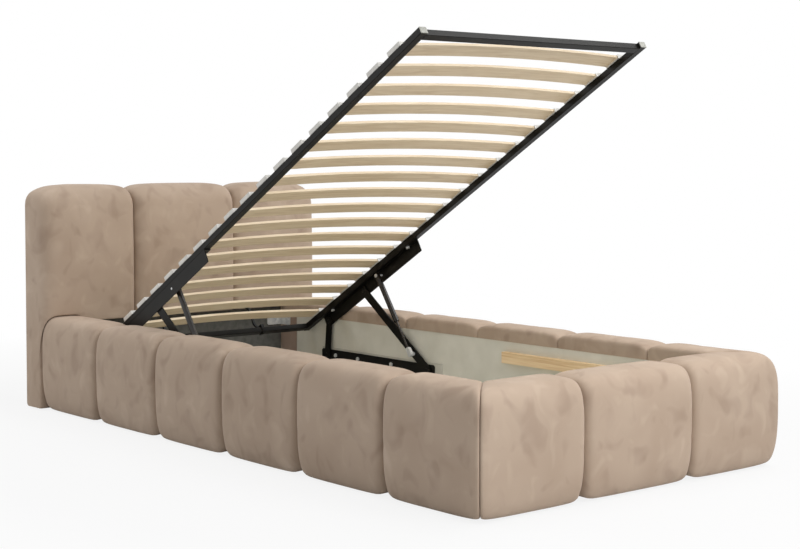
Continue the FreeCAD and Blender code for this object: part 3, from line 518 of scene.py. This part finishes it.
def head_front(x, bulge_share):
    """Place of the headboard's face: full between its creases and sides, drawn in there."""
    crease = fullness(abs(abs(x) - HEAD_CREASE), HEAD_CREASE_ROUND)
    side = fullness(HEAD_HALF_WIDTH - abs(x), HEAD_SIDE_ROUND)
    recess = max(HEAD_CREASE_DEPTH * (1 - crease), HEAD_SIDE_RECESS * (1 - side))
    return RAIL_HEAD_Y - HEAD_CROWN + recess - HEAD_BULGE * min(crease, side) * bulge_share


def head_top(x):
    """Height of the headboard's top, lower in its creases and at its sides."""
    crease = fullness(abs(abs(x) - HEAD_CREASE), HEAD_CREST_ROUND)
    side = fullness(HEAD_HALF_WIDTH - abs(x), HEAD_SIDE_CREST_ROUND)
    return HEAD_TOP - max(HEAD_DROP * (1 - crease), HEAD_SIDE_DROP * (1 - side))


def head_face(x, start, end, count):
    """Points down the headboard's face between two heights, bulged most half way up."""
    reach = HEAD_TOP - HEAD_FRONT_ROUND - CROWN_LOW
    points = []
    for number in range(count):
        z = start + (end - start) * number / count
        share = min(1, max(0, (z - CROWN_LOW) / reach))
        points.append((head_front(x, math.sin(math.pi * share) ** 2), z))
    return points


def head_outline(x):
    """Outline (y, z) of the headboard's padding, round the panel that it covers.

    Inside the box the padding ends over the lining; beside it, it goes on down behind the rail's end.
    """
    front = head_front(x, 0)
    top = head_top(x)
    beside = abs(x) > INNER_X
    low = rail_top(x) + LEDGE_GAP if beside else CROWN_LOW
    pocket_top = min(PANEL_TOP, top - HEAD_BACK_ROUND - POCKET_EDGE)
    inner = BACK_Y - POCKET_EDGE if abs(x) > PANEL_SIDE else PANEL_FRONT
    tuck = min(HEAD_TUCK, inner - front - POCKET_EDGE)
    points = steps((BACK_Y, pocket_top), (BACK_Y, top - HEAD_BACK_ROUND), BACK_STEPS)
    back_round = (BACK_Y - HEAD_BACK_ROUND, top - HEAD_BACK_ROUND)
    points += arc(back_round, HEAD_BACK_ROUND, 0, 90, BACK_ROUND_STEPS)
    front_round = (front + HEAD_FRONT_ROUND, top - HEAD_FRONT_ROUND)
    points += steps((back_round[0], top), (front_round[0], top), HEAD_TOP_STEPS)
    points += arc(front_round, HEAD_FRONT_ROUND, 90, 180, HEAD_FRONT_STEPS)
    points += head_face(x, front_round[1], HEAD_FACE_LOW, HEAD_FACE_STEPS)
    points += head_face(x, HEAD_FACE_LOW, low + HEAD_TUCK, HEAD_SKIRT_STEPS)
    points += arc((front + tuck, low + HEAD_TUCK), (tuck, HEAD_TUCK), 180, 270, HEAD_TUCK_STEPS)
    if beside:
        points += leg_outline(x, front + tuck, low)
        low = HEM if abs(x) > PANEL_SIDE else RAIL_LOW
    else:
        points += steps((front + tuck, low), (inner, low), LEDGE_STEPS + LEG_STEPS + LEG_HEM_STEPS)
    points += pocket_wall(x, inner, low, pocket_top)
    points += steps((inner, pocket_top), (BACK_Y, pocket_top), POCKET_TOP_STEPS)
    return points


def leg_outline(x, ledge, low):
    """The part of the outline beside the box: back over the rail's end, down behind it, and its hem."""
    edge = HEAD_HALF_WIDTH - abs(x)
    front = RAIL_HEAD_Y + SEAT + LEG_RECESS * (1 - fullness(edge, LEG_ROUND))
    hem_round = min(LEG_ROUND, PANEL_FRONT - front - POCKET_EDGE)
    hem = HEM + HEM_LIFT * (1 - fullness(edge, LEG_ROUND, MITRE_HEM_SHARE))
    points = steps((ledge, low), (front, low - LEDGE_SLOPE), LEDGE_STEPS)
    points += steps((front, low - LEDGE_SLOPE), (front, hem + hem_round), LEG_STEPS)
    points += arc((front + hem_round, hem + hem_round), hem_round, 180, 270, LEG_HEM_STEPS)
    return points


def pocket_wall(x, inner, low, high):
    """The part of the outline up the panel's face or, past the panel's edge, up the rounded back."""
    start = low + HEM_BACK_ROUND
    if abs(x) > PANEL_SIDE:
        points = arc((inner - HEM_BACK_ROUND, start), HEM_BACK_ROUND, 270, 360, HEM_BACK_STEPS)
    else:
        points = steps((inner, low), (inner, start), HEM_BACK_STEPS)
    return points + steps((inner, start), (inner, high), POCKET_STEPS)


def head_columns():
    """Places across the headboard, with one on each side of the box's wall and of the panel's edge."""
    right = [HEAD_CREASE + place for place in channel(HEAD_HALF_WIDTH - HEAD_CREASE)[1:]]
    right += [INNER_X - SEAT, INNER_X + SEAT, PANEL_SIDE - PANEL_EDGE, PANEL_SIDE + PANEL_EDGE]
    right.sort()
    middle = [place - HEAD_CREASE for place in channel(HEAD_CREASE + HEAD_CREASE)]
    return [-x for x in right[::-1]] + middle + right


def side_rings(ring, side):
    """Rings that close an end of the headboard as a gently domed side, drawn in to its upright midline."""
    points = np.array(ring)
    low, high = points.min(axis=0), points.max(axis=0)
    half = (high[1] - low[1]) / 2
    midline = points.copy()
    midline[:, 1] = low[1] + half
    midline[:, 2] = np.clip(points[:, 2], low[2] + half, high[2] - half)
    closing = []
    for share in HEAD_SIDE_SHARES:
        inset = midline + (points - midline) * share
        inset[:, 0] += side * HEAD_SIDE_BULGE * (1 - share)
        closing.append([tuple(point) for point in inset])
    return closing


def headboard(name):
    """Padding of the headboard, and its points that stay when it is filled."""
    columns = head_columns()
    rings = [[(x, y, z) for y, z in head_outline(x)] for x in columns]
    closing = len(HEAD_SIDE_SHARES)
    rings = side_rings(rings[0], -1)[::-1] + rings + side_rings(rings[-1], 1)
    piece = skin(name, rings)
    count = len(rings[0])
    first = BACK_STEPS + BACK_ROUND_STEPS
    shown = range(first, first + HEAD_TOP_STEPS + HEAD_FRONT_STEPS + HEAD_FACE_STEPS)
    held = [len(rings) * count, len(rings) * count + 1]
    for number in range(len(rings)):
        column = number - closing
        free = 0 < column < len(columns) - 1 and abs(abs(columns[column]) - HEAD_CREASE) > SAME_PLACE
        for spot in range(count):
            if not free or spot not in shown:
                held.append(number * count + spot)
    return piece, held


# Filling: cloth blown up against its seams

def inflate(piece, held, swell):
    """Blow the cover up with its seams held; its largest movement becomes swell."""
    group = piece.vertex_groups.new(name="held")
    group.add(held, 1.0, "REPLACE")
    cloth = piece.modifiers.new("fill", "CLOTH")
    settings = cloth.settings
    settings.quality = BLOW_QUALITY
    settings.tension_stiffness = BLOW_STRETCH
    settings.compression_stiffness = BLOW_STRETCH
    settings.shear_stiffness = BLOW_SHEAR
    settings.bending_stiffness = BLOW_BEND
    settings.use_pressure = True
    settings.uniform_pressure_force = BLOW_PRESSURE
    settings.vertex_group_mass = "held"
    settings.effector_weights.gravity = 0
    cloth.point_cache.frame_start = 1
    cloth.point_cache.frame_end = BLOW_FRAMES
    scene = bpy.context.scene
    for number in range(1, BLOW_FRAMES + 1):
        scene.frame_set(number)
    blown = piece.evaluated_get(bpy.context.evaluated_depsgraph_get())
    after = read_points(blown.data)
    piece.modifiers.remove(cloth)
    scene.frame_set(1)
    before = read_points(piece.data)
    moved = after - before
    largest = np.linalg.norm(moved, axis=1).max()
    write_points(piece.data, before + moved * (swell / max(largest, swell)))
    print("filled", piece.name, "largest movement", round(float(largest), 4))


# Linings and flaps

def hung_sheet(name, low, high, across, depth, phase):
    """Flat cloth in the (across, Z) plane at a given depth, with a faint ripple."""
    wide = high[across] - low[across]
    tall = high.z - low.z
    columns = max(LEAST_STEPS, round(wide / SHEET_STEP))
    rows = max(LEAST_STEPS, round(tall / SHEET_STEP))
    depth_axis = 1 - across
    points = []
    for row in range(rows + 1):
        for column in range(columns + 1):
            u = wide * column / columns
            v = tall * row / rows
            ripple = math.sin(u * RIPPLE_ACROSS + phase) * math.sin(v * RIPPLE_UP + phase)
            slant = math.sin(u * SLANT_ACROSS - v * SLANT_UP)
            point = [0, 0, low.z + v]
            point[across] = low[across] + u
            point[depth_axis] = depth + SHEET_RIPPLE * (ripple * slant)
            points.append(point)
    faces = []
    for row in range(rows):
        for column in range(columns):
            here = row * (columns + 1) + column
            faces.append((here, here + 1, here + columns + 2, here + columns + 1))
    sheet = piece_from(name, points, faces)
    sheet.data.shade_smooth()
    return sheet, (wide, tall)


# Shader nodes

def material(name):
    made = bpy.data.materials.new(name)
    made.use_nodes = True
    nodes = made.node_tree.nodes
    return made, nodes, made.node_tree.links, nodes["Principled BSDF"]


def set_inputs(node, **values):
    """Set a node's sockets, named with _ for each space."""
    for socket, value in values.items():
        node.inputs[socket.replace("_", " ")].default_value = value


def add(nodes, kind, **values):
    node = nodes.new(kind)
    set_inputs(node, **values)
    return node


def colour(red, green, blue):
    """Linear colour from 0-255 screen values."""
    def linear(value):
        share = value / SCREEN_WHITE
        if share <= SCREEN_KNEE:
            return share / SCREEN_SLOPE
        return ((share + SCREEN_OFFSET) / (1 + SCREEN_OFFSET)) ** SCREEN_GAMMA
    return (linear(red), linear(green), linear(blue), 1)


def noise(nodes, links, scale, detail, stretch=(1, 1, 1), distortion=0):
    """Noise in the frame's own metres, stretched along an axis by a small scale there."""
    place = nodes.new("ShaderNodeTexCoord")
    mapping = add(nodes, "ShaderNodeMapping", Scale=stretch)
    texture = add(nodes, "ShaderNodeTexNoise", Scale=scale, Detail=detail, Distortion=distortion)
    links.new(place.outputs["Object"], mapping.inputs["Vector"])
    links.new(mapping.outputs["Vector"], texture.inputs["Vector"])
    return texture.outputs["Fac"]


def ramp(nodes, links, source, stops, shades):
    """Colours at stops between 0 and 1 of a grey source."""
    node = nodes.new("ShaderNodeValToRGB")
    elements = node.color_ramp.elements
    while len(elements) < len(stops):
        elements.new(stops[-1])
    for element, stop, shade in zip(elements, stops, shades):
        element.position = stop
        element.color = shade
    links.new(source, node.inputs["Fac"])
    return node.outputs["Color"]


def mix(nodes, links, share, first, second):
    """Mix of two colour outputs by a share of the second."""
    node = nodes.new("ShaderNodeMix")
    node.data_type = "RGBA"
    node.inputs["Factor"].default_value = share
    links.new(first, node.inputs["A"])
    links.new(second, node.inputs["B"])
    return node.outputs["Result"]


def bump(nodes, links, shader, height, strength, distance):
    node = add(nodes, "ShaderNodeBump", Strength=strength, Distance=distance)
    links.new(height, node.inputs["Height"])
    links.new(node.outputs["Normal"], shader.inputs["Normal"])


# Materials

def velvet(name, dark, middle, light):
    """Short-pile velvet: soft broad tone, a few brushed marks and a fine nap."""
    made, nodes, links, shader = material(name)
    broad = noise(nodes, links, VELVET_TONE_SCALE, VELVET_DETAIL, distortion=VELVET_TONE_TWIST)
    strokes = noise(nodes, links, VELVET_MARK_SCALE, VELVET_DETAIL, VELVET_MARK_STRETCH, VELVET_MARK_TWIST)
    base = ramp(nodes, links, broad, VELVET_TONE_STOPS, (middle, light))
    marks = ramp(nodes, links, strokes, VELVET_MARK_STOPS, (dark, middle, middle, light))
    links.new(mix(nodes, links, VELVET_MARK_SHARE, base, marks), shader.inputs["Base Color"])
    set_inputs(shader, Roughness=VELVET_ROUGHNESS, Specular_IOR_Level=VELVET_GLOSS)
    set_inputs(shader, Sheen_Weight=VELVET_SHEEN, Sheen_Roughness=VELVET_SHEEN_ROUGHNESS)
    set_inputs(shader, Sheen_Tint=colour(*VELVET_SHEEN_TINT))
    bump(nodes, links, shader, noise(nodes, links, NAP_SCALE, NAP_DETAIL), NAP_STRENGTH, NAP_HEIGHT)
    return made


def fine_grain(name, dark, light, patches, rough, grain, strength, metal=0.0, gloss=0.5):
    """Plain finish: two close tones in soft patches, and a fine surface grain."""
    made, nodes, links, shader = material(name)
    tone = noise(nodes, links, patches, PATCH_DETAIL)
    links.new(ramp(nodes, links, tone, PATCH_STOPS, (dark, light)), shader.inputs["Base Color"])
    set_inputs(shader, Roughness=rough, Metallic=metal, Specular_IOR_Level=gloss)
    bump(nodes, links, shader, noise(nodes, links, grain, GRAIN_DETAIL), strength, GRAIN_HEIGHT)
    return made


def timber(name, pale, mid, dark, stretch, scale, rough):
    """Wood with streaks along the axis whose stretch is small."""
    made, nodes, links, shader = material(name)
    figure = noise(nodes, links, scale, FIGURE_DETAIL, stretch, FIGURE_TWIST)
    streak = noise(nodes, links, scale * STREAK_FINENESS, STREAK_DETAIL, stretch)
    broad = ramp(nodes, links, figure, FIGURE_STOPS, (dark, mid, pale))
    fine = ramp(nodes, links, streak, STREAK_STOPS, (mid, pale))
    links.new(mix(nodes, links, STREAK_SHARE, broad, fine), shader.inputs["Base Color"])
    set_inputs(shader, Roughness=rough)
    bump(nodes, links, shader, streak, STREAK_STRENGTH, GRAIN_HEIGHT)
    return made


velvet_cloth = velvet("velvet_taupe", dark=colour(149, 128, 112),
                      middle=colour(175, 155, 137), light=colour(192, 173, 155))
# Velvet of the flaps: the rail velvet with every tone made darker, as painted shade on the flaps.
flap_cloth_painted_shade = velvet("flap_velvet", dark=colour(140, 118, 106),
                    middle=colour(160, 138, 125), light=colour(176, 154, 140))
lining_cloth = fine_grain("black_lining", dark=colour(77, 77, 73), light=colour(94, 93, 88),
                          patches=40.0, rough=0.9, grain=900.0, strength=0.4)
board_face = fine_grain("laminated_board", dark=colour(212, 210, 198), light=colour(224, 222, 211),
                        patches=9.0, rough=0.5, grain=300.0, strength=0.05)
chip = fine_grain("chipboard", dark=colour(150, 122, 88), light=colour(190, 162, 124),
                  patches=220.0, rough=0.8, grain=500.0, strength=0.3)
pine = timber("pine", pale=colour(244, 219, 180), mid=colour(231, 199, 152), dark=colour(205, 163, 112),
              stretch=(14, 1, 30), scale=2.2, rough=0.6)
birch = timber("birch", pale=colour(226, 208, 178), mid=colour(214, 193, 160), dark=colour(196, 172, 136),
               stretch=(1, 16, 16), scale=4.0, rough=0.45)
# Packers: the laminated board's grey-white made darker, as painted shade on the packers behind the lower
# brackets.
packer_painted_shade = fine_grain("packer_board", dark=colour(188, 186, 176), light=colour(200, 198, 188),
                    patches=9.0, rough=0.6, grain=300.0, strength=0.05)
black_steel = fine_grain("black_steel", dark=colour(12, 11, 9), light=colour(20, 19, 16),
                         patches=12.0, rough=0.4, grain=1400.0, strength=0.12, gloss=0.15)
zinc = fine_grain("zinc", dark=colour(206, 208, 209), light=colour(228, 229, 228),
                  patches=70.0, rough=0.35, grain=500.0, strength=0.08, metal=0.4)
rod_steel = fine_grain("rod_steel", dark=colour(34, 30, 26), light=colour(50, 45, 39),
                       patches=30.0, rough=0.18, grain=900.0, strength=0.03)
cylinder_paint = fine_grain("cylinder_paint", dark=colour(22, 18, 15), light=colour(34, 29, 24),
                            patches=10.0, rough=0.2, grain=700.0, strength=0.04)
holder = fine_grain("holder_plastic", dark=colour(212, 210, 204), light=colour(226, 224, 218),
                    patches=25.0, rough=0.45, grain=800.0, strength=0.08)
# End caps: their plastic lightened to a pale grey, partly the caps' own colour and partly a painted
# highlight standing in for the lamps' reflection.
cap_painted_highlight = fine_grain("cap_plastic", dark=colour(140, 140, 132), light=colour(160, 160, 152),
                 patches=20.0, rough=0.5, grain=800.0, strength=0.1)
glide = fine_grain("glide_plastic", dark=colour(30, 30, 30), light=colour(46, 46, 46),
                   patches=20.0, rough=0.6, grain=800.0, strength=0.1)


# Finishes of the CAD nodes

def dress(surface, *nodes):
    """Give CAD nodes a material."""
    for node in nodes:
        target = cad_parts[node].data
        target.materials.clear()
        target.materials.append(surface)


def pair(name):
    return [name + "_left", name + "_right"]


dress(board_face, *pair("side_board"), "foot_board", "floor_panel_foot", "floor_panel_head")
dress(packer_painted_shade, *pair("mechanism_packer"))
dress(chip, "headboard_panel")
dress(pine, "headboard_frame", "floor_bearers", *pair("rest_batten"))
dress(glide, "glide_feet")
dress(zinc, *pair("corner_bracket_head"), "corner_screws", "lower_bracket_bolts", "upper_bracket_bolts")
dress(zinc, "strut_upper_studs", "strut_lower_studs", "gas_rod_ends")
dress(black_steel, *pair("corner_bracket_foot"), *pair("lower_bracket"), *pair("upper_bracket"))
dress(black_steel, *pair("long_arm"), *pair("short_arm"), *pair("lid_side_tube"))
dress(black_steel, "lid_head_tube", "lid_foot_tube", "mattress_stop", "mattress_stop_clips")
dress(black_steel, "lower_pivot_pins", "upper_pivot_pins", "short_arm_rivets")
dress(cylinder_paint, *pair("gas_cylinder"))
dress(rod_steel, *pair("gas_rod"))
dress(birch, "slats")
dress(holder, *pair("slat_holders"))
dress(cap_painted_highlight, "tube_end_caps")


# Soft pieces

def wear(piece, surface):
    """Give a piece its finish and let it ride on the base."""
    piece.data.materials.append(surface)
    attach(piece, "base")


def build_padding():
    side, side_seams = side_rail("side_padding_right")
    foot, foot_seams = foot_rail("foot_padding")
    head, head_held = headboard("headboard_padding")
    inflate(side, rail_pins(side, side_seams), RAIL_SWELL)
    inflate(foot, rail_pins(foot, foot_seams), RAIL_SWELL)
    inflate(head, head_held, HEAD_SWELL)
    left = mirrored(side, "side_padding_left")
    replaced = ((side, "side_upholstery_right"), (left, "side_upholstery_left"),
                (foot, "foot_upholstery"), (head, "headboard_upholstery"))
    for piece, node in replaced:
        soften(piece)
        wear(piece, velvet_cloth)
        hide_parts(node)


def build_flaps():
    for number, node in enumerate(pair("rail_end_flap")):
        low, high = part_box(node)
        depth = high.x - SEAM if low.x < 0 else low.x + SEAM
        flap, flat = hung_sheet("flap_cloth_" + str(number + 1), low, high, ALONG_Y, depth, number)
        wear(flap, flap_cloth_painted_shade)
        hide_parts(node)


def build_linings():
    depth = lining_low.y + SEAM
    front, flat = hung_sheet("front_lining_cloth", lining_low, lining_high, ACROSS_X, depth, FRONT_PHASE)
    wear(front, lining_cloth)
    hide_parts("headboard_front_lining")
    low, high = back_lining_low, back_lining_high
    back, flat = hung_sheet("back_lining_cloth", low, high, ACROSS_X, high.y - SEAM, BACK_PHASE)
    wear(back, lining_cloth)
    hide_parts("headboard_back_lining")


build_padding()
build_flaps()
build_linings()


# Studio

def set_camera():
    data = bpy.data.cameras.new("camera")
    data.lens = CAMERA_LENS
    data.sensor_width = SENSOR_WIDTH
    data.shift_y = CAMERA_SHIFT
    camera = bpy.data.objects.new("camera", data)
    camera.location = CAMERA_PLACE
    camera.rotation_euler = (math.pi / 2 - CAMERA_DIP, 0, CAMERA_YAW)
    bpy.context.scene.collection.objects.link(camera)
    bpy.context.scene.camera = camera


def soft_light(name, place, aim, size, power):
    data = bpy.data.lights.new(name, "AREA")
    data.shape = "SQUARE"
    data.size = size
    data.energy = power
    lamp = bpy.data.objects.new(name, data)
    lamp.location = place
    lamp.rotation_euler = (Vector(aim) - Vector(place)).to_track_quat("-Z", "Y").to_euler()
    bpy.context.scene.collection.objects.link(lamp)


def seen_rays(nodes, links):
    """1 for rays that see the background: straight, in a mirror or through glass."""
    path = nodes.new("ShaderNodeLightPath")
    seen = path.outputs["Is Camera Ray"]
    for kind in ("Is Glossy Ray", "Is Transmission Ray"):
        either = nodes.new("ShaderNodeMath")
        either.operation = "MAXIMUM"
        links.new(seen, either.inputs[0])
        links.new(path.outputs[kind], either.inputs[1])
        seen = either.outputs[0]
    return seen


def choose_shader(nodes, links, share, first, second, output):
    """Send a mix of two shaders, by a share of the second, to an output node."""
    choose = nodes.new("ShaderNodeMixShader")
    links.new(share, choose.inputs[0])
    links.new(first.outputs[0], choose.inputs[1])
    links.new(second.outputs[0], choose.inputs[2])
    links.new(choose.outputs[0], nodes[output].inputs["Surface"])


def floor_glow(nodes, links):
    """Share of white in what seen rays find on the floor: whole far away, less round the object."""
    place = nodes.new("ShaderNodeTexCoord")
    spread = add(nodes, "ShaderNodeMapping", Scale=FLOOR_FADE)
    ball = nodes.new("ShaderNodeTexGradient")
    ball.gradient_type = "SPHERICAL"
    links.new(place.outputs["Object"], spread.inputs["Vector"])
    links.new(spread.outputs["Vector"], ball.inputs["Vector"])
    fade = add(nodes, "ShaderNodeMapRange", From_Max=FLOOR_FADE_SHARE, To_Min=1, To_Max=FLOOR_GLOW_SHARE)
    links.new(ball.outputs["Fac"], fade.inputs["Value"])
    share = nodes.new("ShaderNodeMath")
    share.operation = "MULTIPLY"
    links.new(seen_rays(nodes, links), share.inputs[0])
    links.new(fade.outputs[0], share.inputs[1])
    return share.outputs[0]


def white_floor():
    """Pale floor that the camera and mirrors see as white away from the object, with its shadow kept."""
    reach = FLOOR_REACH
    corners = [(-reach, -reach, 0), (reach, -reach, 0), (reach, reach, 0), (-reach, reach, 0)]
    floor = piece_from("floor", corners, [(0, 1, 2, 3)])
    made, nodes, links, shader = material("floor_white")
    set_inputs(shader, Base_Color=FLOOR_TONE, Roughness=FLOOR_ROUGHNESS)
    glow = add(nodes, "ShaderNodeEmission", Strength=SEEN_STRENGTH)
    choose_shader(nodes, links, floor_glow(nodes, links), shader, glow, "Material Output")
    floor.data.materials.append(made)


def white_world():
    """Even light from all round, which the camera, mirrors and glass see as plain white."""
    world = bpy.data.worlds.new("world")
    bpy.context.scene.world = world
    world.use_nodes = True
    nodes = world.node_tree.nodes
    links = world.node_tree.links
    dome = nodes["Background"]
    set_inputs(dome, Color=WHITE, Strength=DOME_STRENGTH)
    seen = add(nodes, "ShaderNodeBackground", Color=WHITE, Strength=SEEN_STRENGTH)
    choose_shader(nodes, links, seen_rays(nodes, links), dome, seen, "World Output")


set_camera()
white_floor()
white_world()
for lamp_name, (lamp_place, lamp_aim, lamp_size, lamp_power) in LAMPS.items():
    soft_light(lamp_name, lamp_place, lamp_aim, lamp_size, lamp_power)
bpy.context.scene.view_settings.view_transform = "Standard"
